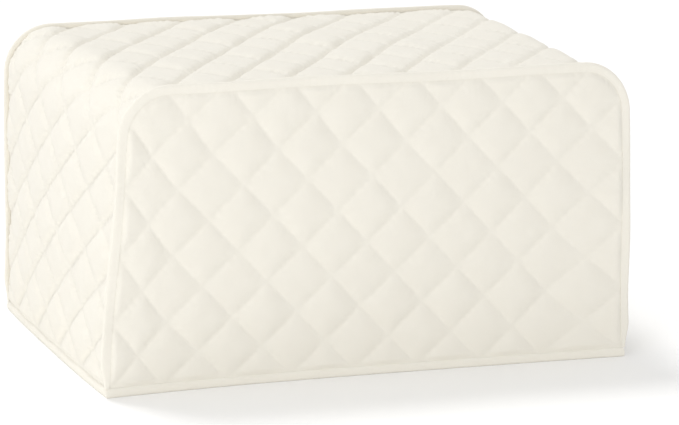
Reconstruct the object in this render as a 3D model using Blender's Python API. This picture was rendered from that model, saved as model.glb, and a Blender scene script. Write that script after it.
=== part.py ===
"""Quilted box cover for a countertop appliance, in the shape in which its cloth stands.

Metres, +Z up. The front faces -Y. The origin is on the surface, under the middle of the cover.
Each piece is laid out flat in lattice units, one unit being half the diagonal of a quilted diamond.
It is then placed on an ideal box, and drape() leans, flares and sags that box as cloth does.
"""
import math

import bmesh
import bpy

# The quilting's half diagonal drives the size of every panel.
STEP = 0.02625
COLUMNS = 16                # half diagonals across the front
LAYERS = 11                 # the depth, in the same measure
TOP_ROW = -0.8              # lattice row of the top seam on a panel
HEM_ROW = 8.2               # lattice row of the surface that the cover stands on
STRIP_ACROSS = 9            # half diagonals across the side strip, whose diamonds are pulled wide
STRIP_STEP = 0.0240         # half a diagonal along it, where the cloth is taken up
STRIP_PHASE = 0.35          # how far along it its first stitches cross
WIDTH = COLUMNS * STEP
DEPTH = LAYERS * STEP
HEIGHT = (HEM_ROW - TOP_ROW) * STEP
CORNER_RADIUS = 0.0336
CORNER_FACETS = 9

# Cloth
CLOTH = 0.0018              # thickness where it is stitched
PUFF = 0.0026               # how far the middle of a diamond stands above its stitches
PUFF_ROUND = 1.7            # 1 gives a soft wave, and more a fuller pillow
PUFF_SPREAD = 0.25          # how much one diamond's height differs from the next
STRIP_PUFF = 1.1            # the side strip sags, so its diamonds stand higher by this factor
SIDE_CROSS = 0.85           # it folds along one family of stitches: how deep the other one lies there
TOP_CROSS = 0.50            # as a share, on the upright sides and on the top
SEAM_FADE = 0.009           # the quilting is pressed flat within this distance of a seam
GAP = 0.0003                # clearance between neighbouring pieces

# Tape folded over the seams, and over the lower edge
TAPE_WIDTH = 0.0065
TAPE_THICKNESS = 0.0032
TAPE_END_WIDTH = 0.0026     # the seam's tape narrows where the hem takes it in
TAPE_END_REACH = 0.022
HEM_BAND = 0.007
HEM_WALL = 0.0010
HEM_FLOOR = 0.0016
HEM_FADE = 0.008            # the quilting starts this far above the hem's tape

# How the cloth stands
FRONT_TAPER = 0.061         # the front narrows upward by this share of its width
BACK_TAPER = -0.052         # and the back widens
BACK_SWAY = 0.010           # the top of the back lies this much further right than its hem
FRONT_LEAN = 0.012          # the top of the front hangs this much over its hem
BACK_LEAN = -0.0015
HEM_FLARE = 0.014           # the lower edge spreads from front to back by this share
FLARE_REACH = 0.35          # the spread ends at this share of the height
PANEL_BELLY = 0.0022
SIDE_BELLY = 0.0072
TOP_CROWN = 0.0020
HEM_TUCK = 0.0075           # the front hem lies back, most of all at the dip
TUCK_REACH = 0.8            # up to this share of the height
DIP_AT = -0.35              # side to side, -1 at the left corner and 1 at the right one
WAVE = 0.0006               # slow unevenness of the whole cover

# How the quilting of a panel drifts from a square layout, in lattice units
DRIFT_SIDE = -0.32
DRIFT_SLANT = 0.30
DRIFT_SPREAD = 0.43
DRIFT_TILT = 0.08
DRIFT_REACH = 2 * STEP      # the drift fades out within this distance of a seam

# Colour and finish
IVORY = (0.83, 0.80, 0.70, 1.0)
TAPE_IVORY = (0.84, 0.81, 0.70, 1.0)
ROUGHNESS = 0.9

COLLECTION = "appliance_cover"
ARC = CORNER_RADIUS * math.pi / 2
UPRIGHT = HEIGHT - CORNER_RADIUS
SEAM_LENGTH = 2 * (UPRIGHT + ARC) + WIDTH - 2 * CORNER_RADIUS


def smooth(low, high, value):
    """0 below low, 1 above high, and an even ramp between them."""
    share = min(max((value - low) / (high - low), 0.0), 1.0)
    return share * share * (3 - 2 * share)


def drape(x, y, z):
    """Move a point of the ideal box to where the hanging cloth takes it."""
    rise = z / HEIGHT
    side = 2 * x / WIDTH
    depth = 2 * y / DEPTH
    low = max(0.0, 1 - rise / FLARE_REACH) ** 2
    hang = math.sin(math.pi * min(max(rise, 0.0), 1.0))
    mid_side = max(0.0, 1 - side * side)
    mid_depth = max(0.0, 1 - depth * depth)
    forward = 0.5 - 0.5 * depth
    front = smooth(0.6, -1.0, depth)
    reach = 1 - DIP_AT if side > DIP_AT else 1 + DIP_AT
    dip = max(0.0, 1 - ((side - DIP_AT) / reach) ** 2)
    free = 0.3 + 0.7 * smooth(0.0, 0.25, rise)

    taper = BACK_TAPER + (FRONT_TAPER - BACK_TAPER) * forward
    new_x = x * (1 - taper * (rise - 0.5)) + BACK_SWAY * (1 - forward) * (rise - 0.5)
    new_x += side * SIDE_BELLY * mid_depth * (0.35 + 0.65 * hang)
    new_x += free * WAVE * math.sin(31 * y + 35 * z + 1.0)

    new_y = y * (1 + HEM_FLARE * low) - FRONT_LEAN * rise * front + BACK_LEAN * rise * (1 - front)
    new_y += depth * PANEL_BELLY * mid_side * hang
    new_y += HEM_TUCK * front * dip * max(0.0, 1 - rise / TUCK_REACH) ** 2
    new_y += free * WAVE * math.sin(27 * x - 33 * z + 2.2)

    new_z = z + TOP_CROWN * mid_side * mid_depth * smooth(0.8, 1.0, rise)
    new_z += smooth(0.0, 1.0, rise) * WAVE * math.sin(30 * x + 24 * y + 0.4)
    return new_x, new_y, new_z


def seam_path(length, out):
    """Point of the seam seen from the front, length metres up from the left end of the hem."""
    if length > SEAM_LENGTH / 2:
        x, z = seam_path(SEAM_LENGTH - length, out)
        return -x, z
    left = -WIDTH / 2
    if length <= UPRIGHT:
        return left - out, length
    if length >= UPRIGHT + ARC:
        return left + CORNER_RADIUS + length - UPRIGHT - ARC, HEIGHT + out
    turn = (length - UPRIGHT) / CORNER_RADIUS
    reach = CORNER_RADIUS + out
    return left + CORNER_RADIUS - reach * math.cos(turn), UPRIGHT + reach * math.sin(turn)


def seam_distance(x, z):
    """Distance in a panel's plane from a point to the seam round the panel."""
    inward = WIDTH / 2 - abs(x)
    down = HEIGHT - z
    if inward < CORNER_RADIUS and down < CORNER_RADIUS:
        return CORNER_RADIUS - math.hypot(CORNER_RADIUS - inward, CORNER_RADIUS - down)
    return min(inward, down)


def quilt(across, along, shares=(1.0, 1.0)):
    """Height of the quilting, 0 on the stitches and 1 in the middle of a diamond.

    The stitches come in two families of lines, and shares says how deep either of them lies.
    """
    rising = abs(math.sin(math.pi * (across + along) / 2))
    falling = abs(math.sin(math.pi * (across - along) / 2))
    height = 1 - shares[0] * (1 - rising) ** PUFF_ROUND
    return height * (1 - shares[1] * (1 - falling) ** PUFF_ROUND)


def quilt_node(across, along, shares=(1.0, 1.0)):
    """quilt() at the nearest quarter of the lattice, so that cut rows still meet the stitches."""
    return quilt(round(4 * across) / 4, round(4 * along) / 4, shares)


def diamond_gain(across, along, seed):
    """Each diamond is filled a little more or less than its neighbours."""
    first = math.floor((across + along) / 2)
    second = math.floor((across - along) / 2)
    return 1 + PUFF_SPREAD * math.sin(2.3 * first + 4.1 * second + seed)


def press(distance, height):
    """Share of the quilting's height that is left near a seam and near the hem."""
    above_tape = height - HEM_BAND
    return smooth(0.0, SEAM_FADE, distance) * smooth(0.001, HEM_FADE, above_tape)


def drifted(x, z):
    """Shift a panel's point with its quilting, which isn't laid quite square to the seams."""
    side = 2 * x / WIDTH
    rise = z / HEIGHT - 0.5
    inside = smooth(0.0, DRIFT_REACH, seam_distance(x, z))
    sideways = DRIFT_SIDE + (DRIFT_SLANT + DRIFT_SPREAD * side) * rise
    upward = DRIFT_TILT * side * smooth(HEM_BAND, DRIFT_REACH, z)
    return x + STEP * inside * sideways, z + STEP * inside * upward


def place_front(across, along, outer):
    return place_panel(across, along, outer, -1)


def place_back(across, along, outer):
    return place_panel(across, along, outer, 1)


def place_panel(across, along, outer, facing):
    """Lattice point of the front (facing -1) or back (facing 1) panel."""
    x, z = drifted((across - COLUMNS / 2) * STEP, (HEM_ROW - along) * STEP)
    out = -CLOTH
    if outer:
        height = PUFF * quilt_node(across, along) * diamond_gain(across, along, 1 + facing)
        out = height * press(seam_distance(x, z), z)
    return drape(-facing * x, facing * (DEPTH / 2 + out), z)


def strip_shares(length):
    """How deep the two families of stitches lie in the side strip, length metres up and over it."""
    left = 1 - smooth(UPRIGHT, UPRIGHT + ARC, length)
    right = smooth(UPRIGHT, UPRIGHT + ARC, length - (SEAM_LENGTH - 2 * UPRIGHT - ARC))
    cross = TOP_CROSS + (SIDE_CROSS - TOP_CROSS) * right
    return left + cross * (1 - left), SIDE_CROSS * left + 1 - left


def place_gusset(across, along, outer):
    """Lattice point of the side strip: across runs from front to back, along up and over."""
    start = -DEPTH / 2 + CLOTH + GAP
    y = start + across / STRIP_ACROSS * (-2 * start)
    length = along * STRIP_STEP
    end = min(length, SEAM_LENGTH - length)
    out = -CLOTH
    if outer:
        phase = along - STRIP_PHASE
        height = STRIP_PUFF * PUFF * quilt_node(across, phase, strip_shares(length))
        height *= diamond_gain(across, phase, 5)
        out = height * press(min(y - start, -start - y), end)
    x, z = seam_path(length, out)
    return drape(x, y, z)


# Lattice rows of the pieces
HEM_EDGE = HEM_FLOOR + GAP + 0.0001              # height of the cloth's lower edge, inside its tape
HEM_LINE = HEM_BAND + 0.001                      # height at which the cloth has left its tape
STRIP_ROWS = SEAM_LENGTH / STRIP_STEP
SHORTEST_ROW = 0.3


def panel_rows():
    """Rows of a panel from its top seam to its lower edge."""
    line = HEM_ROW - HEM_LINE / STEP
    return [TOP_ROW, *range(math.floor(line) + 1), line, HEM_ROW - HEM_EDGE / STEP]


def gusset_rows():
    """Rows of the side strip, with half rows where it bends over the upper corners."""
    edge = HEM_EDGE / STRIP_STEP
    line = HEM_LINE / STRIP_STEP
    rows = [edge, line]
    row = STRIP_PHASE
    while row < STRIP_ROWS - line - SHORTEST_ROW:
        if row > line + SHORTEST_ROW:
            rows.append(row)
        height = min(row + 0.5, STRIP_ROWS - row - 0.5) * STRIP_STEP
        if UPRIGHT - STRIP_STEP / 2 < height < UPRIGHT + ARC + STRIP_STEP / 2:
            rows.append(row + 0.5)
        row += 1
    return rows + [STRIP_ROWS - line, STRIP_ROWS - edge]


def flat_grid(columns, rows):
    """A flat grid with its lines at the given columns and rows."""
    bm = bmesh.new()
    bmesh.ops.create_grid(bm, x_segments=len(columns) - 1, y_segments=len(rows) - 1, size=1.0)
    bm.verts.ensure_lookup_table()
    for index, vert in enumerate(bm.verts):
        vert.co.x = columns[index % len(columns)]
        vert.co.y = rows[index // len(columns)]
        vert.co.z = 0.0
    return bm


def round_corners(bm):
    """Cut the two upper corners of a flat panel to the seam's arc."""
    radius = CORNER_RADIUS / STEP
    for mirrored in (False, True):
        for facet in range(CORNER_FACETS):
            angle = math.pi / 2 * (facet + 0.5) / CORNER_FACETS
            reach = radius * math.cos(math.pi / 4 / CORNER_FACETS)
            normal = (-math.cos(angle), -math.sin(angle), 0.0)
            point = (radius + normal[0] * reach, TOP_ROW + radius + normal[1] * reach, 0.0)
            if mirrored:
                normal = (-normal[0], normal[1], 0.0)
                point = (COLUMNS - point[0], point[1], 0.0)
            everything = bm.verts[:] + bm.edges[:] + bm.faces[:]
            bmesh.ops.bisect_plane(bm, geom=everything, dist=1e-5, plane_co=point, plane_no=normal,
                                   clear_outer=True)
    bmesh.ops.remove_doubles(bm, verts=bm.verts[:], dist=0.02)


def halve_outer_cells(bm):
    """Halve the long edges of the outer layer, where the quilting is raised."""
    outer = [face for face in bm.faces if all(vert.co.z > 0.5 for vert in face.verts)]
    edges = {edge for face in outer for edge in face.edges if edge.calc_length() > 0.6}
    bmesh.ops.subdivide_edges(bm, edges=list(edges), cuts=1, use_grid_fill=True)


def split_along_stitches(bm, phase):
    """Cut each outer quad along its stitch, or beside the middle of its diamond."""
    for face in list(bm.faces):
        corners = list(face.verts)
        if len(corners) != 4 or any(vert.co.z < 0.5 for vert in corners):
            continue
        heights = [quilt_node(vert.co.x, vert.co.y - phase) for vert in corners]
        first = (abs(heights[0] - heights[2]), heights[0] + heights[2])
        second = (abs(heights[1] - heights[3]), heights[1] + heights[3])
        start = 0 if first <= second else 1
        bmesh.utils.face_split(face, corners[start], corners[start + 2])
    bmesh.ops.triangulate(bm, faces=bm.faces[:])


def cloth_piece(name, columns, rows, place, material, phase=0.0, rounded=False):
    """One quilted sheet: laid out flat, given two layers, quilted and draped."""
    bm = flat_grid(columns, rows)
    if rounded:
        round_corners(bm)
    bmesh.ops.solidify(bm, geom=bm.faces[:], thickness=1.0)
    lowest = min(vert.co.z for vert in bm.verts)
    bmesh.ops.translate(bm, verts=bm.verts[:], vec=(0.0, 0.0, -lowest))
    halve_outer_cells(bm)
    split_along_stitches(bm, phase)
    for vert in bm.verts:
        vert.co = place(vert.co.x, vert.co.y, vert.co.z > 0.5)
    return finish_piece(name, bm, material)


def finish_piece(name, bm, material):
    """Turn a closed mesh into a named object with its material."""
    bmesh.ops.recalc_face_normals(bm, faces=bm.faces[:])
    if bm.calc_volume(signed=True) < 0:
        bmesh.ops.reverse_faces(bm, faces=bm.faces[:])
    mesh = bpy.data.meshes.new(name)
    bm.to_mesh(mesh)
    bm.free()
    mesh.shade_smooth()
    mesh.set_sharp_from_angle(angle=math.radians(50))
    mesh.materials.append(material)
    piece = bpy.data.objects.new(name, mesh)
    bpy.data.collections[COLLECTION].objects.link(piece)
    return piece


def tape_stations():
    """Lengths along the seam at which its tape has a section."""
    first = HEM_BAND + GAP
    stations = [first, first + TAPE_END_REACH / 2, first + TAPE_END_REACH]
    straight = 14
    for index in range(1, straight):
        stations.append(stations[2] + (UPRIGHT - stations[2]) * index / straight)
    stations += [UPRIGHT + ARC * index / CORNER_FACETS for index in range(CORNER_FACETS + 1)]
    top = 2 * COLUMNS - 6
    across = WIDTH - 2 * CORNER_RADIUS
    half = [UPRIGHT + ARC + across * index / top for index in range(1, top // 2 + 1)]
    stations += half
    return stations + [SEAM_LENGTH - length for length in reversed(stations[:-1])]


def tape_section(length):
    """Section of the folded tape: how far out of the seam, and how far in front of it."""
    end = min(length, SEAM_LENGTH - length) - HEM_BAND
    width = TAPE_END_WIDTH + (TAPE_WIDTH - TAPE_END_WIDTH) * smooth(0.0, TAPE_END_REACH, end)
    half = TAPE_THICKNESS / 2
    middle = half - 0.0006
    return [(GAP, middle - half), (GAP, middle + half), (0.72 * width, middle + half),
            (GAP + width, middle + 0.4 * half), (GAP + width, middle - 0.4 * half),
            (0.72 * width, middle - half)]


def seam_tape(name, facing, material):
    """The folded tape that stands out of the front (facing -1) or back (facing 1) seam."""
    stations = tape_stations()
    corners = len(tape_section(0.0))
    bm = flat_grid(range(corners + 1), range(len(stations)))
    for vert in bm.verts:
        length = stations[round(vert.co.y)]
        out, inward = tape_section(length)[round(vert.co.x) % corners]
        x, z = seam_path(length, out)
        vert.co = drape(x, facing * (DEPTH / 2 - inward), z)
    bmesh.ops.remove_doubles(bm, verts=bm.verts[:], dist=1e-6)
    bmesh.ops.holes_fill(bm, edges=bm.edges[:], sides=corners)
    bmesh.ops.triangulate(bm, faces=bm.faces[:])
    return finish_piece(name, bm, material)


def hem_stations():
    """Points round the lower edge, each with the direction that leads out of the cover."""
    half_x, half_y = WIDTH / 2, DEPTH / 2
    stations = []
    for column in range(COLUMNS + 1):
        lean = {0: -1, COLUMNS: 1}.get(column, 0)
        stations.append((column * STEP - half_x, -half_y, lean, -1))
    for layer in range(1, LAYERS + 1):
        stations.append((half_x, layer * STEP - half_y, 1, 1 if layer == LAYERS else 0))
    opposite = [(-x, -y, -out_x, -out_y) for x, y, out_x, out_y in stations[1:-1]]
    return stations + opposite


def hem_section():
    """Section of the hem's tape, folded up on both sides of the cloth: out, and up."""
    outside = GAP
    inside = -CLOTH - GAP
    return [(inside - HEM_WALL, 0.0), (outside + HEM_WALL, 0.0), (outside + HEM_WALL, HEM_BAND),
            (outside, HEM_BAND), (outside, HEM_FLOOR), (inside, HEM_FLOOR),
            (inside, HEM_BAND), (inside - HEM_WALL, HEM_BAND)]


def hem_tape(name, material):
    """The tape folded over the lower edge, closed into a ring."""
    stations = hem_stations()
    section = hem_section()
    bm = flat_grid(range(len(section) + 1), range(len(stations) + 1))
    for vert in bm.verts:
        x, y, out_x, out_y = stations[round(vert.co.y) % len(stations)]
        out, up = section[round(vert.co.x) % len(section)]
        vert.co = drape(x + out * out_x, y + out * out_y, up)
    bmesh.ops.remove_doubles(bm, verts=bm.verts[:], dist=1e-6)
    bmesh.ops.triangulate(bm, faces=bm.faces[:])
    return finish_piece(name, bm, material)


def cloth_material(name, colour):
    """A matt cloth of one colour."""
    material = bpy.data.materials.new(name)
    material.use_nodes = True
    shader = material.node_tree.nodes["Principled BSDF"]
    shader.inputs["Base Color"].default_value = colour
    shader.inputs["Roughness"].default_value = ROUGHNESS
    shader.inputs["Metallic"].default_value = 0.0
    return material


def centre_on_origin(pieces):
    """Move all the pieces so that the middle of their box stands over the origin."""
    points = [vert.co for piece in pieces for vert in piece.data.vertices]
    middle_x = (min(p.x for p in points) + max(p.x for p in points)) / 2
    middle_y = (min(p.y for p in points) + max(p.y for p in points)) / 2
    for piece in pieces:
        for vert in piece.data.vertices:
            vert.co.x -= middle_x
            vert.co.y -= middle_y


def main():
    for old in list(bpy.data.objects):
        bpy.data.objects.remove(old)
    bpy.context.scene.collection.children.link(bpy.data.collections.new(COLLECTION))
    quilted = cloth_material("quilted_cloth", IVORY)
    tape = cloth_material("binding_tape", TAPE_IVORY)
    columns = list(range(COLUMNS + 1))
    strip_columns = list(range(STRIP_ACROSS + 1))
    pieces = [
        cloth_piece("front_panel", columns, panel_rows(), place_front, quilted, rounded=True),
        cloth_piece("back_panel", columns, panel_rows(), place_back, quilted, rounded=True),
        cloth_piece("gusset", strip_columns, gusset_rows(), place_gusset, quilted, phase=STRIP_PHASE),
        seam_tape("front_binding", -1, tape),
        seam_tape("back_binding", 1, tape),
        hem_tape("hem_binding", tape),
    ]
    centre_on_origin(pieces)


main()
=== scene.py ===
"""Looks of the quilted appliance cover: fine quilted sheets, folded tapes, cloth, light and camera.

Metres, +Z up, the front faces -Y. The sizes and the drape are those of the solids, so every sheet lies
where its solid is. Only the quilting and the tapes are finer here.
"""
import math

import bpy
import numpy as np
from mathutils import Matrix, Vector


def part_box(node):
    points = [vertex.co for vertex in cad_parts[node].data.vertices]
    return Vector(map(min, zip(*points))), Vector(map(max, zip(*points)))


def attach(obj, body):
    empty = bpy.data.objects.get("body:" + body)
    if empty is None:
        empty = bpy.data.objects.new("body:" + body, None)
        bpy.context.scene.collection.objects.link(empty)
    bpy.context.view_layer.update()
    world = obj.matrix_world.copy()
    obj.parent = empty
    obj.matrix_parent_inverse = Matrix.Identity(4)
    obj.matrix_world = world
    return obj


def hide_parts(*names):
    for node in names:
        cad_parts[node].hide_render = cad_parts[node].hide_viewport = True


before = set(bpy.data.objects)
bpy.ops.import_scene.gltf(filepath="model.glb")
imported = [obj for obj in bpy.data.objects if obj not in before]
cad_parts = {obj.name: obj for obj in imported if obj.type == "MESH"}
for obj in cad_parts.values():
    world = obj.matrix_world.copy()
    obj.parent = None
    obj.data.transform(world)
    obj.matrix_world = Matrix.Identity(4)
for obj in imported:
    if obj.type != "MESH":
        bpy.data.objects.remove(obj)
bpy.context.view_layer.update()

# Sizes of the cover, as in the solids
STEP = 0.02625              # half the diagonal of a quilted diamond
COLUMNS = 16                # half diagonals across the front
LAYERS = 11                 # the depth, in the same measure
TOP_ROW = -0.8              # lattice row of the top seam on a panel
HEM_ROW = 8.2               # lattice row of the surface that the cover stands on
WIDTH = COLUMNS * STEP
DEPTH = LAYERS * STEP
HEIGHT = (HEM_ROW - TOP_ROW) * STEP
CORNER_RADIUS = 0.0336
CLOTH = 0.0018              # thickness where it is stitched
GAP = 0.0003                # clearance between neighbouring pieces
STRIP_ACROSS = 9            # half diagonals across the side strip, whose diamonds are pulled wide
STRIP_STEP = 0.0240         # and half a diagonal along it, where the cloth is taken up
STRIP_PHASE = 0.35          # how far along it its first stitches cross
TAPE_WIDTH = 0.0065
TAPE_THICKNESS = 0.0032
TAPE_SETBACK = 0.0006       # how far the tape stands in front of the seam's panel
BACK_TAPE = 0.68            # share of its width that shows of the back seam's tape
TAPE_END_WIDTH = 0.0026     # the seam's tape narrows where the hem takes it in
TAPE_END_REACH = 0.022
HEM_BAND = 0.007
HEM_WALL = 0.0010
HEM_FLOOR = 0.0016
ARC = CORNER_RADIUS * math.pi / 2
UPRIGHT = HEIGHT - CORNER_RADIUS
SEAM_LENGTH = 2 * (UPRIGHT + ARC) + WIDTH - 2 * CORNER_RADIUS
HEM_EDGE = HEM_FLOOR + GAP + 0.0001     # height of the cloth's lower edge, inside its tape

# How the cloth stands, as in the solids
FRONT_TAPER = 0.061         # the front narrows upward by this share of its width
BACK_TAPER = -0.052         # and the back widens
BACK_SWAY = 0.010           # the top of the back lies this much further right than its hem
FRONT_LEAN = 0.012          # the top of the front hangs this much over its hem
BACK_LEAN = -0.0015
HEM_FLARE = 0.014           # the lower edge spreads from front to back by this share
FLARE_REACH = 0.35          # the spread ends at this share of the height
PANEL_BELLY = 0.0022
SIDE_BELLY = 0.0072
TOP_CROWN = 0.0020
HEM_TUCK = 0.0075           # the front hem lies back, most of all at the dip
TUCK_REACH = 0.8            # up to this share of the height
DIP_AT = -0.35              # side to side, -1 at the left corner and 1 at the right one
WAVE = 0.0006               # slow unevenness of the whole cover

# How the quilting of a panel drifts from a square layout, in lattice units, as in the solids
DRIFT_SIDE = -0.32
DRIFT_SLANT = 0.30
DRIFT_SPREAD = 0.43
DRIFT_TILT = 0.08
DRIFT_REACH = 2 * STEP      # the drift fades out within this distance of a seam

# Grids of the visible pieces
PANEL_CELL = 0.0015
GUSSET_CELL = 0.0019
HEM_CELL = 0.00175
TAPE_SECTIONS = 620

# Finer quilting
PUFF = 0.0024               # how far the middle of a diamond stands above its stitches
PUFF_SPREAD = 0.25          # how much one diamond's height differs from the next
PUFF_ROUND = 1.7            # 1 gives a soft wave, and more a fuller pillow
LUMP = 0.0003               # uneven filling inside a diamond
LUMP_SIZE = 0.017
FURROW = 0.00005            # extra depth of the stitched line
FURROW_WIDTH = 0.0015
SEAM_FADE = 0.005           # the quilting is pressed flat within this distance of a seam
PANEL_LIFT = 0.0002         # and a panel's cloth stands this much higher inside that distance
PUCKER = 0.00016            # little creases that cross the stitched lines
PUCKER_REACH = 0.005
GATHER = 0.0002             # little creases that run in from the seams
GATHER_REACH = 0.010

# And how the side strip differs from the panels
STRIP_PUFF = 1.2            # its diamonds stand higher by this factor
STRIP_ROUND = 2.3           # and are fuller
STRIP_PUCKER = 3.6          # its little creases are deeper by this factor
CORNER_CREASE = 0.9         # and by this share again where it turns over to the top
STRIP_GATHER = 0.0008
RIGHT_FLAT = 0.40           # share by which it is flatter at its right end, where it is drawn tight
SIDE_FOLD = 0.0006          # extra depth of the stitched lines along which its left side folds
TOP_FOLD = 0.0021           # and of those on its top and right side
FOLD_WIDTH = 0.0019
SIDE_CROSS = 0.80           # how deep its other stitched lines are, as a share, on the upright sides
TOP_CROSS = 0.50            # and on the top


def smooth(low, high, value):
    """0 below low, 1 above high, and an even ramp between them."""
    share = np.clip((value - low) / (high - low), 0.0, 1.0)
    return share * share * (3 - 2 * share)


def drape(x, y, z):
    """Move points of the ideal box to where the hanging cloth takes them."""
    rise = z / HEIGHT
    side = 2 * x / WIDTH
    depth = 2 * y / DEPTH
    low = np.maximum(0.0, 1 - rise / FLARE_REACH) ** 2
    hang = np.sin(math.pi * np.clip(rise, 0.0, 1.0))
    mid_side = np.maximum(0.0, 1 - side * side)
    mid_depth = np.maximum(0.0, 1 - depth * depth)
    forward = 0.5 - 0.5 * depth
    front = smooth(0.6, -1.0, depth)
    reach = np.where(side > DIP_AT, 1 - DIP_AT, 1 + DIP_AT)
    dip = np.maximum(0.0, 1 - ((side - DIP_AT) / reach) ** 2)
    free = 0.3 + 0.7 * smooth(0.0, 0.25, rise)

    taper = BACK_TAPER + (FRONT_TAPER - BACK_TAPER) * forward
    new_x = x * (1 - taper * (rise - 0.5)) + BACK_SWAY * (1 - forward) * (rise - 0.5)
    new_x = new_x + side * SIDE_BELLY * mid_depth * (0.35 + 0.65 * hang)
    new_x = new_x + free * WAVE * np.sin(31 * y + 35 * z + 1.0)

    new_y = y * (1 + HEM_FLARE * low) - FRONT_LEAN * rise * front + BACK_LEAN * rise * (1 - front)
    new_y = new_y + depth * PANEL_BELLY * mid_side * hang
    new_y = new_y + HEM_TUCK * front * dip * np.maximum(0.0, 1 - rise / TUCK_REACH) ** 2
    new_y = new_y + free * WAVE * np.sin(27 * x - 33 * z + 2.2)

    new_z = z + TOP_CROWN * mid_side * mid_depth * smooth(0.8, 1.0, rise)
    new_z = new_z + smooth(0.0, 1.0, rise) * WAVE * np.sin(30 * x + 24 * y + 0.4)
    return np.stack([new_x, new_y, new_z], axis=-1)


def seam_path(length, out):
    """Points of the seam seen from the front, length metres up from the left end of the hem."""
    mirrored = length > SEAM_LENGTH / 2
    along = np.where(mirrored, SEAM_LENGTH - length, length)
    left = -WIDTH / 2
    turn = np.clip((along - UPRIGHT) / CORNER_RADIUS, 0.0, math.pi / 2)
    reach = CORNER_RADIUS + out
    x = left + CORNER_RADIUS - reach * np.cos(turn) + np.maximum(0.0, along - UPRIGHT - ARC)
    z = UPRIGHT + reach * np.sin(turn) + np.minimum(0.0, along - UPRIGHT)
    return np.where(mirrored, -x, x), z


def seam_distance(x, z):
    """Distance in a panel's plane from points to the seam round the panel."""
    inward = WIDTH / 2 - np.abs(x)
    down = HEIGHT - z
    corner = CORNER_RADIUS - np.hypot(CORNER_RADIUS - inward, CORNER_RADIUS - down)
    in_corner = (inward < CORNER_RADIUS) & (down < CORNER_RADIUS)
    return np.where(in_corner, corner, np.minimum(inward, down))


def drifted(x, z):
    """Shift a panel's points with its quilting, which isn't laid quite square to the seams."""
    side = 2 * x / WIDTH
    rise = z / HEIGHT - 0.5
    inside = smooth(0.0, DRIFT_REACH, seam_distance(x, z))
    sideways = DRIFT_SIDE + (DRIFT_SLANT + DRIFT_SPREAD * side) * rise
    upward = DRIFT_TILT * side * smooth(HEM_BAND, DRIFT_REACH, z)
    return x + STEP * inside * sideways, z + STEP * inside * upward


# The fine quilting

def ripple(along, line, seed):
    """An uneven row of little creases, different on every line."""
    phase = 2.1 * line + seed
    slow = np.sin(along * 2 * math.pi / 0.047 + phase)
    return np.sin(along * 2 * math.pi / 0.0083 + 2.6 * slow + 1.7 * phase) * (0.65 + 0.35 * slow)


def soft_noise(u, v, size, seed):
    """Smooth seeded noise from -1 to 1 with lumps about size across."""
    count = 64
    table = np.random.default_rng(seed).uniform(-1.0, 1.0, (count, count))
    cell_u, cell_v = np.floor(u / size), np.floor(v / size)
    part_u = smooth(0.0, 1.0, u / size - cell_u)
    part_v = smooth(0.0, 1.0, v / size - cell_v)
    near_u, near_v = cell_u.astype(int) % count, cell_v.astype(int) % count
    far_u, far_v = (near_u + 1) % count, (near_v + 1) % count
    low = table[near_u, near_v] * (1 - part_u) + table[far_u, near_v] * part_u
    high = table[near_u, far_v] * (1 - part_u) + table[far_u, far_v] * part_u
    return low * (1 - part_v) + high * part_v


def quilting(across, along, seed, full, shares, folds, pucker=PUCKER, power=PUFF_ROUND):
    """Height of a quilted face in metres.

    The stitches come in two families of lines. For each family, shares says how deep its lines are, and
    folds adds depth to them. full is the height of a whole diamond, and power how full its pillow is.
    """
    height = 1.0
    extra = 0.0
    line_pitch = 2 * STEP / math.sqrt(2)
    for family, sign in enumerate((1, -1)):
        place = (across + sign * along) / 2
        other = (across - sign * along) / 2
        line = np.round(place)
        distance = np.abs(place - line) * line_pitch
        run = other * line_pitch
        rise = np.abs(np.sin(math.pi * place))
        height = height * (1 - shares[family] * (1 - rise) ** power)
        near = np.exp(-(distance / PUCKER_REACH) ** 2)
        extra = extra + pucker * near * ripple(run, line, seed + 3 * family)
        extra = extra - FURROW * np.exp(-(distance / FURROW_WIDTH) ** 2)
        extra = extra - folds[family] * np.exp(-(distance / FOLD_WIDTH) ** 2)
    first = np.floor((across + along) / 2)
    second = np.floor((across - along) / 2)
    gain = 1 + PUFF_SPREAD * np.sin(2.3 * first + 4.1 * second + seed)
    lumps = soft_noise(across * STEP, along * STEP, LUMP_SIZE, 11 + int(seed))
    lumps = lumps + 0.5 * soft_noise(along * STEP, across * STEP, LUMP_SIZE * 0.45, 23 + int(seed))
    return full * gain * height + LUMP * lumps * height + extra


def edge_gathers(distance, along, depth, seed):
    """Little creases that run in from a seam and die away."""
    near = np.exp(-distance / GATHER_REACH) * smooth(0.0, 0.0015, distance)
    return depth * near * ripple(along * 1.15, 0.0, seed)


def panel_points(across, along, outer, facing):
    """Lattice points of the front (facing -1) or back (facing 1) panel."""
    x, z = drifted((across - COLUMNS / 2) * STEP, (HEM_ROW - along) * STEP)
    out = -CLOTH
    if outer:
        distance = seam_distance(x, z)
        press = smooth(0.0, SEAM_FADE, distance) * smooth(0.0, SEAM_FADE, z - HEM_BAND)
        run = np.where(WIDTH / 2 - np.abs(x) < HEIGHT - z, z, x)
        height = quilting(across, along, 1 + facing, PUFF, (1.0, 1.0), (0.0, 0.0))
        height = height * press + edge_gathers(distance, run, GATHER, 2.0 + facing)
        out = height + PANEL_LIFT * press
    return drape(-facing * x, facing * (DEPTH / 2 + out), z)


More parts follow.
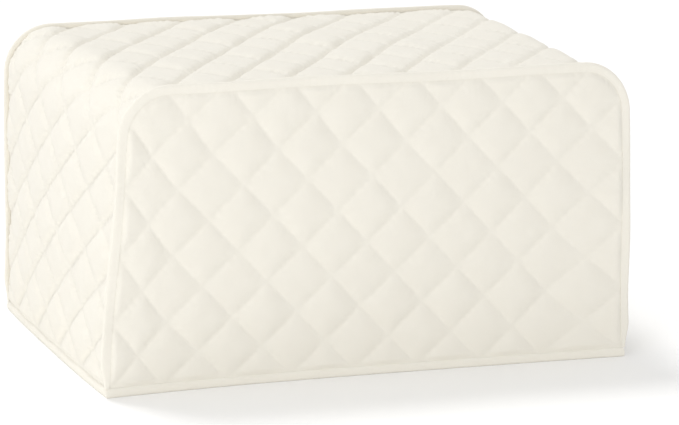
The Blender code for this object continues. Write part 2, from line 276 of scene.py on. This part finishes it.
def gusset_points(across, along, outer):
    """Lattice points of the side strip: across runs from front to back, along up and over."""
    start = -DEPTH / 2 + CLOTH + GAP
    y = start + across / STRIP_ACROSS * (-2 * start)
    length = along * STRIP_STEP
    end = np.minimum(length, SEAM_LENGTH - length)
    out = -CLOTH
    if outer:
        distance = np.minimum(y - start, -start - y)
        press = smooth(0.0, SEAM_FADE, distance) * smooth(0.0, SEAM_FADE, end - HEM_BAND)
        left = 1 - smooth(UPRIGHT, UPRIGHT + ARC, length)
        right = smooth(0.0, ARC, length - (SEAM_LENGTH - UPRIGHT - ARC))
        top_cross = TOP_CROSS + (SIDE_CROSS - TOP_CROSS) * right
        shares = (1.0 * left + top_cross * (1 - left), SIDE_CROSS * left + 1 - left)
        tight = 1 - RIGHT_FLAT * smooth(0.52, 0.66, length / SEAM_LENGTH)
        folds = (SIDE_FOLD * left, TOP_FOLD * (1 - left) * tight)
        crease = STRIP_PUCKER * PUCKER * (1 + CORNER_CREASE * 4 * left * (1 - left))
        height = quilting(across, along - STRIP_PHASE, 5.0, STRIP_PUFF * PUFF * tight, shares, folds,
                          crease, STRIP_ROUND)
        out = height * press + edge_gathers(distance, length, STRIP_GATHER, 4.0)
    x, z = seam_path(length, out)
    return drape(x, y, z)


def rounded_corners(across, along):
    """Pull the upper corners of a panel's grid in to the seam's arc."""
    radius = CORNER_RADIUS / STEP
    inward = radius - (COLUMNS / 2 - np.abs(across - COLUMNS / 2))
    upward = radius - (along - TOP_ROW)
    inside = (inward > 0) & (upward > 0)
    far = np.hypot(inward, upward)
    scale = np.where(inside, np.maximum(inward, upward) / np.maximum(far, 1e-9), 1.0)
    new_in = np.where(inside, inward * scale, inward)
    new_up = np.where(inside, upward * scale, upward)
    side = np.where(across < COLUMNS / 2, -1.0, 1.0)
    new_across = COLUMNS / 2 + side * (COLUMNS / 2 - radius + new_in)
    return np.where(inside, new_across, across), np.where(inside, TOP_ROW + radius - new_up, along)


def grid_faces(count_u, count_v, first, flip):
    """Quads of a grid whose points are stored row by row."""
    u, v = np.meshgrid(np.arange(count_u - 1), np.arange(count_v - 1), indexing="ij")
    corner = first + u * count_v + v
    quads = np.stack([corner, corner + count_v, corner + count_v + 1, corner + 1], axis=-1).reshape(-1, 4)
    return quads[:, ::-1] if flip else quads


def rim(count_u, count_v, first):
    """Indices round the edge of a grid."""
    index = first + np.arange(count_u * count_v).reshape(count_u, count_v)
    return np.concatenate([index[:-1, 0], index[-1, :-1], index[:0:-1, -1], index[0, :0:-1]])


def sheet_mesh(name, start, end, unit, cell, place, rounded=False):
    """A closed sheet: a fine outer layer, an inner layer at half its resolution, and a rim between.

    start and end are lattice points, and unit is the size in metres of the lattice both ways.
    """
    cells = [2 * round((end[axis] - start[axis]) * unit[axis] / cell / 2) for axis in (0, 1)]
    layers = []
    for outer, divide in ((True, 1), (False, 2)):
        u = np.linspace(start[0], end[0], cells[0] // divide + 1)
        v = np.linspace(start[1], end[1], cells[1] // divide + 1)
        across, along = np.meshgrid(u, v, indexing="ij")
        if rounded:
            across, along = rounded_corners(across, along)
        points = place(across, along, outer)
        layers.append((across, along, points))
    counts = [layer[0].shape for layer in layers]
    first_inner = counts[0][0] * counts[0][1]
    outer_faces = grid_faces(*counts[0], 0, False)
    inner_faces = grid_faces(*counts[1], first_inner, True)
    outer_rim = rim(*counts[0], 0)
    inner_rim = rim(*counts[1], first_inner)
    faces = outer_faces.tolist() + inner_faces.tolist()
    for index in range(len(inner_rim)):
        following = (index + 1) % len(inner_rim)
        fine = [outer_rim[(2 * index + step) % len(outer_rim)] for step in (0, 1, 2)]
        faces.append([int(i) for i in (fine[2], fine[1], fine[0], inner_rim[index], inner_rim[following])])
    points = np.concatenate([layer[2].reshape(-1, 3) for layer in layers])
    flat = np.concatenate([np.stack(layer[:2], -1).reshape(-1, 2) for layer in layers]) * unit
    return make_object(name, points, faces, flat)


def make_object(name, points, faces, flat):
    """A smooth mesh object with its flat layout, in metres, as its UV map."""
    mesh = bpy.data.meshes.new(name)
    mesh.from_pydata((points + SHIFT).tolist(), [], faces)
    mesh.validate()
    layer = mesh.uv_layers.new(name="flat")
    loops = np.empty(len(mesh.loops), dtype=np.int64)
    mesh.loops.foreach_get("vertex_index", loops)
    layer.uv.foreach_set("vector", flat[loops].ravel())
    mesh.shade_smooth()
    mesh.set_sharp_from_angle(angle=math.radians(60))
    piece = bpy.data.objects.new(name, mesh)
    bpy.context.scene.collection.objects.link(piece)
    turn_outward(piece)
    return piece


def turn_outward(piece):
    """Flip all faces if the closed mesh is inside out."""
    mesh = piece.data
    mesh.calc_loop_triangles()
    corners = np.empty(len(mesh.loop_triangles) * 3, dtype=np.int64)
    mesh.loop_triangles.foreach_get("vertices", corners)
    points = np.empty(len(mesh.vertices) * 3)
    mesh.vertices.foreach_get("co", points)
    a, b, c = points.reshape(-1, 3)[corners.reshape(-1, 3)].transpose(1, 0, 2)
    if np.einsum("ij,ij->i", a, np.cross(b, c)).sum() < 0:
        mesh.flip_normals()


def ring_mesh(name, rings, closed, flat):
    """A tube through rings of points; closed joins its ends, otherwise they are capped."""
    count, corners = rings.shape[:2]
    faces = []
    last = count if closed else count - 1
    for index in range(last):
        here = index * corners
        there = (index + 1) % count * corners
        for corner in range(corners):
            after = (corner + 1) % corners
            faces.append([here + corner, here + after, there + after, there + corner])
    if not closed:
        faces.append(list(range(corners))[::-1])
        faces.append(list(range((count - 1) * corners, count * corners)))
    return make_object(name, rings.reshape(-1, 3), faces, flat.reshape(-1, 2))


def tape_section(width, half):
    """Round-edged section of the folded tape, as points out of the seam and in front of it.

    Its first rows are a thin lip that covers the edge of the panel.
    """
    near, lip, thin = 0.00012, -0.0009, 0.00035
    rows = [(lip, half - thin), (lip, half - 0.1 * thin), (near, half),
            (0.16 * width, 0.93 * half), (0.30 * width, half), (0.60 * width, half),
            (0.80 * width, 0.93 * half), (0.93 * width, 0.68 * half), (0.99 * width, 0.35 * half),
            (width, 0 * half),
            (0.99 * width, -0.35 * half), (0.93 * width, -0.68 * half), (0.80 * width, -0.93 * half),
            (0.50 * width, -half), (0.20 * width, -0.9 * half),
            (near, -0.8 * half), (near, half - thin)]
    out = np.stack([out + 0 * width for out, _ in rows], -1)
    front = np.stack([front + 0 * half for _, front in rows], -1)
    return out, front


def seam_tape(name, facing):
    """The folded tape that stands out of the front (facing -1) or back (facing 1) seam."""
    first = HEM_BAND + GAP
    length = np.linspace(first, SEAM_LENGTH - first, TAPE_SECTIONS)
    end = np.minimum(length, SEAM_LENGTH - length) - HEM_BAND
    width = TAPE_END_WIDTH + (TAPE_WIDTH - TAPE_END_WIDTH) * smooth(0.0, TAPE_END_REACH, end)
    ladder = np.sin(length * 2 * math.pi / 0.0062 + 1.5 * np.sin(length * 2 * math.pi / 0.055))
    strength = 0.35 + 0.65 * smooth(0.2, 0.8, np.sin(length * 2 * math.pi / 0.21 + 0.6 * facing) ** 2)
    pucker = ladder * strength
    width = width * (1 + 0.008 * pucker + 0.025 * np.sin(length * 2 * math.pi / 0.083))
    if facing > 0:
        width = width * BACK_TAPE
    half = TAPE_THICKNESS / 2 * (0.95 + 0.05 * pucker)
    out, front = tape_section(width, half)
    middle = TAPE_THICKNESS / 2 - TAPE_SETBACK
    lean = 0.0006 * np.sin(length * 2 * math.pi / 0.12 + facing)[:, None] * (out / TAPE_WIDTH)
    x, z = seam_path(length[:, None], out)
    y = facing * (DEPTH / 2 - middle + front + lean)
    flat = np.stack(np.broadcast_arrays(out + front, length[:, None]), -1)
    return ring_mesh(name, drape(x, y, z), False, flat)


def hem_stations(cell):
    """Points round the lower edge, each with the direction that leads out of the cover."""
    half_x, half_y = WIDTH / 2, DEPTH / 2
    across = np.linspace(-half_x, half_x, round(WIDTH / cell) + 1)
    back = np.linspace(-half_y, half_y, round(DEPTH / cell) + 1)[1:]
    ahead = np.zeros_like(across)
    ahead[0], ahead[-1] = -1, 1
    front_side = np.stack([across, -half_y + 0 * across, ahead, -1 + 0 * across], -1)
    end = np.zeros_like(back)
    end[-1] = 1
    right_side = np.stack([half_x + 0 * back, back, 1 + 0 * back, end], -1)
    near = np.concatenate([front_side, right_side])
    return np.concatenate([near, -near[1:-1]])


def hem_section():
    """Section of the hem's tape, folded up on both sides of the cloth: out, and up."""
    outside = 0.0001
    inside = -CLOTH - GAP
    outer = GAP + HEM_WALL
    inner = inside - HEM_WALL
    return np.array([(inner, 0.0006), (inner + 0.0005, 0.0), (outer - 0.0007, 0.0), (outer - 0.0001, 0.0008),
                     (outer + 0.0001, 0.0022), (outer, 0.0040), (outer - 0.0002, 0.0056),
                     (outer - 0.0006, 0.0066), (outside, HEM_BAND + 0.0002),
                     (outside, HEM_FLOOR), (inside, HEM_FLOOR), (inside, HEM_BAND), (inner, HEM_BAND)])


def hem_points(cell):
    """Rings of the hem's tape, round the whole lower edge."""
    stations = hem_stations(cell)
    section = hem_section()
    run = np.arange(len(stations)) * cell
    pucker = np.sin(run * 2 * math.pi / 0.0075 + 1.8 * np.sin(run * 2 * math.pi / 0.061))
    swell = 1 + 0.04 * pucker
    out = section[:, 0] * swell[:, None]
    up = section[:, 1] * (1 + 0.02 * np.sin(run * 2 * math.pi / 0.13)[:, None])
    x = stations[:, 0, None] + out * stations[:, 2, None]
    y = stations[:, 1, None] + out * stations[:, 3, None]
    flat = np.stack(np.broadcast_arrays(out + up, run[:, None]), -1)
    return drape(x, y, up), flat


def centring_shift():
    """How far the solids were moved so that their box stands over the origin."""
    points, _ = hem_points(STEP / 16)
    low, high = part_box("hem_binding")
    middle = (points.min(axis=(0, 1)) + points.max(axis=(0, 1))) / 2
    return np.array([(low.x + high.x) / 2 - middle[0], (low.y + high.y) / 2 - middle[1], 0.0])


# Materials

# Places of the colour sockets on a mix node
COLOUR_A = 6
COLOUR_B = 7
MIXED_COLOUR = 2


class Nodes:
    """Adds shader nodes and joins them, to keep the materials short."""

    def __init__(self, name):
        self.material = bpy.data.materials.new(name)
        self.material.use_nodes = True
        self.tree = self.material.node_tree
        self.shader = self.tree.nodes["Principled BSDF"]

    def add(self, kind, values=(), **settings):
        node = self.tree.nodes.new(kind)
        for key, value in settings.items():
            setattr(node, key, value)
        for socket, value in dict(values).items():
            node.inputs[socket].default_value = value
        return node

    def join(self, source, output, target, socket):
        self.tree.links.new(source.outputs[output], target.inputs[socket])


def cloth(name, pale, deep, thread, bump):
    """Woven ivory cloth: fine threads, faint uneven colour and a soft matt sheen."""
    make = Nodes(name)
    place = make.add("ShaderNodeTexCoord")
    cloud = make.add("ShaderNodeTexNoise", {"Scale": 60.0, "Detail": 3.0, "Roughness": 0.55})
    make.join(place, "Object", cloud, "Vector")
    tint = make.add("ShaderNodeMix", data_type="RGBA")
    tint.inputs[COLOUR_A].default_value = deep
    tint.inputs[COLOUR_B].default_value = pale
    make.join(cloud, "Fac", tint, "Factor")
    make.join(tint, MIXED_COLOUR, make.shader, "Base Color")
    make.shader.inputs["Roughness"].default_value = 0.86
    make.shader.inputs["Specular IOR Level"].default_value = 0.25
    make.shader.inputs["Sheen Weight"].default_value = 0.18
    make.shader.inputs["Sheen Roughness"].default_value = 0.45
    waves = []
    for direction in ("X", "Y"):
        wave = make.add("ShaderNodeTexWave", {"Scale": 0.05 * 2 * math.pi / thread, "Distortion": 1.5,
                                              "Detail": 2.0, "Detail Scale": 3.0},
                        wave_type="BANDS", bands_direction=direction)
        make.join(place, "UV", wave, "Vector")
        waves.append(wave)
    weave = make.add("ShaderNodeMath", operation="ADD")
    make.join(waves[0], "Fac", weave, 0)
    make.join(waves[1], "Fac", weave, 1)
    fuzz = make.add("ShaderNodeTexNoise", {"Scale": 900.0, "Detail": 4.0, "Roughness": 0.6})
    make.join(place, "Object", fuzz, "Vector")
    both = make.add("ShaderNodeMath", {1: 1.6}, operation="MULTIPLY_ADD")
    make.join(fuzz, "Fac", both, 0)
    make.join(weave, "Value", both, 2)
    relief = make.add("ShaderNodeBump", {"Strength": bump, "Distance": 0.00012})
    make.join(both, "Value", relief, "Height")
    make.join(relief, "Normal", make.shader, "Normal")
    return make.material


def plain(name, colour, roughness):
    """A plain matt surface for the floor."""
    make = Nodes(name)
    make.shader.inputs["Base Color"].default_value = colour
    make.shader.inputs["Roughness"].default_value = roughness
    return make.material


# Stage, light and camera

CAMERA_AZIMUTH = math.radians(-21.33)
CAMERA_ELEVATION = math.radians(12.46)
CAMERA_ROLL = math.radians(1.11)
CAMERA_DISTANCE = 3.0
CAMERA_TARGET = Vector((0.0243, 0.0, 0.0998))
CAMERA_LENS = 195.5

WHITE = (1.0, 1.0, 1.0, 1.0)
FLOOR_WHITE = (0.99, 0.99, 0.99, 1.0)
FLOOR_REACH = 30.0
SKY = 0.762
LIGHT_AIM = Vector((0.0, 0.0, 0.1))


def add_camera():
    """The camera at the photograph's viewing angle."""
    az, el = CAMERA_AZIMUTH, CAMERA_ELEVATION
    back = Vector((math.sin(az) * math.cos(el), -math.cos(az) * math.cos(el), math.sin(el)))
    right = Vector((math.cos(az), math.sin(az), 0.0))
    up = back.cross(right)
    turned_right = math.cos(CAMERA_ROLL) * right + math.sin(CAMERA_ROLL) * up
    turned_up = math.cos(CAMERA_ROLL) * up - math.sin(CAMERA_ROLL) * right
    data = bpy.data.cameras.new("camera")
    data.lens = CAMERA_LENS
    data.clip_end = 100
    camera = bpy.data.objects.new("camera", data)
    bpy.context.scene.collection.objects.link(camera)
    turn = Matrix((turned_right, turned_up, back)).transposed()
    camera.matrix_world = Matrix.Translation(CAMERA_TARGET + back * CAMERA_DISTANCE) @ turn.to_4x4()
    bpy.context.scene.camera = camera


def add_area(name, place, size, power):
    """A soft square light at place that looks at the middle of the cover."""
    data = bpy.data.lights.new(name, "AREA")
    data.shape = "SQUARE"
    data.size = size
    data.energy = power
    light = bpy.data.objects.new(name, data)
    light.location = place
    light.rotation_euler = (LIGHT_AIM - Vector(place)).to_track_quat("-Z", "Y").to_euler()
    bpy.context.scene.collection.objects.link(light)


def add_stage():
    """A pale floor and soft studio light, mostly from the left."""
    mesh = bpy.data.meshes.new("floor")
    reach = FLOOR_REACH
    corners = [(-reach, -reach, 0.0), (reach, -reach, 0.0), (reach, reach, 0.0), (-reach, reach, 0.0)]
    mesh.from_pydata(corners, [], [(0, 1, 2, 3)])
    floor = bpy.data.objects.new("floor", mesh)
    bpy.context.scene.collection.objects.link(floor)
    mesh.materials.append(plain("floor_paper", FLOOR_WHITE, 0.9))

    world = bpy.data.worlds.new("studio")
    world.use_nodes = True
    world.node_tree.nodes["Background"].inputs["Color"].default_value = WHITE
    world.node_tree.nodes["Background"].inputs["Strength"].default_value = SKY
    bpy.context.scene.world = world
    add_area("key", (-2.3, -2.2, 0.65), size=1.3, power=26.0)
    add_area("window", (-1.5, 3.1, 8.5), size=2.4, power=272.0)


def dress(piece, node, material):
    """Put a piece in its node's place, with its material."""
    piece.data.materials.append(material)
    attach(piece, "root")
    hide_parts(node)
    return piece


def main():
    bpy.context.scene.view_settings.view_transform = "Standard"
    quilted = cloth("quilted_cloth", (0.85, 0.82, 0.74, 1.0), (0.83, 0.795, 0.71, 1.0), 0.0005, 0.4)
    taped = cloth("binding_tape", (0.855, 0.825, 0.745, 1.0), (0.84, 0.805, 0.72, 1.0), 0.0004, 0.3)

    hem_row = HEM_ROW - HEM_EDGE / STEP
    front = sheet_mesh("front_quilt", (0, TOP_ROW), (COLUMNS, hem_row), (STEP, STEP), PANEL_CELL,
                       lambda u, v, outer: panel_points(u, v, outer, -1), rounded=True)
    back = sheet_mesh("back_quilt", (0, TOP_ROW), (COLUMNS, hem_row), (STEP, STEP), PANEL_CELL,
                      lambda u, v, outer: panel_points(u, v, outer, 1), rounded=True)
    strip = sheet_mesh("gusset_quilt", (0, HEM_EDGE / STRIP_STEP),
                       (STRIP_ACROSS, (SEAM_LENGTH - HEM_EDGE) / STRIP_STEP),
                       (DEPTH / STRIP_ACROSS, STRIP_STEP), GUSSET_CELL, gusset_points)
    front_tape = seam_tape("front_tape", -1)
    back_tape = seam_tape("back_tape", 1)
    rings, flat = hem_points(HEM_CELL)
    hem = ring_mesh("hem_tape", rings, True, flat)

    dress(front, "front_panel", quilted)
    dress(back, "back_panel", quilted)
    dress(strip, "gusset", quilted)
    dress(front_tape, "front_binding", taped)
    dress(back_tape, "back_binding", taped)
    dress(hem, "hem_binding", taped)

    add_stage()
    add_camera()


SHIFT = centring_shift()
main()
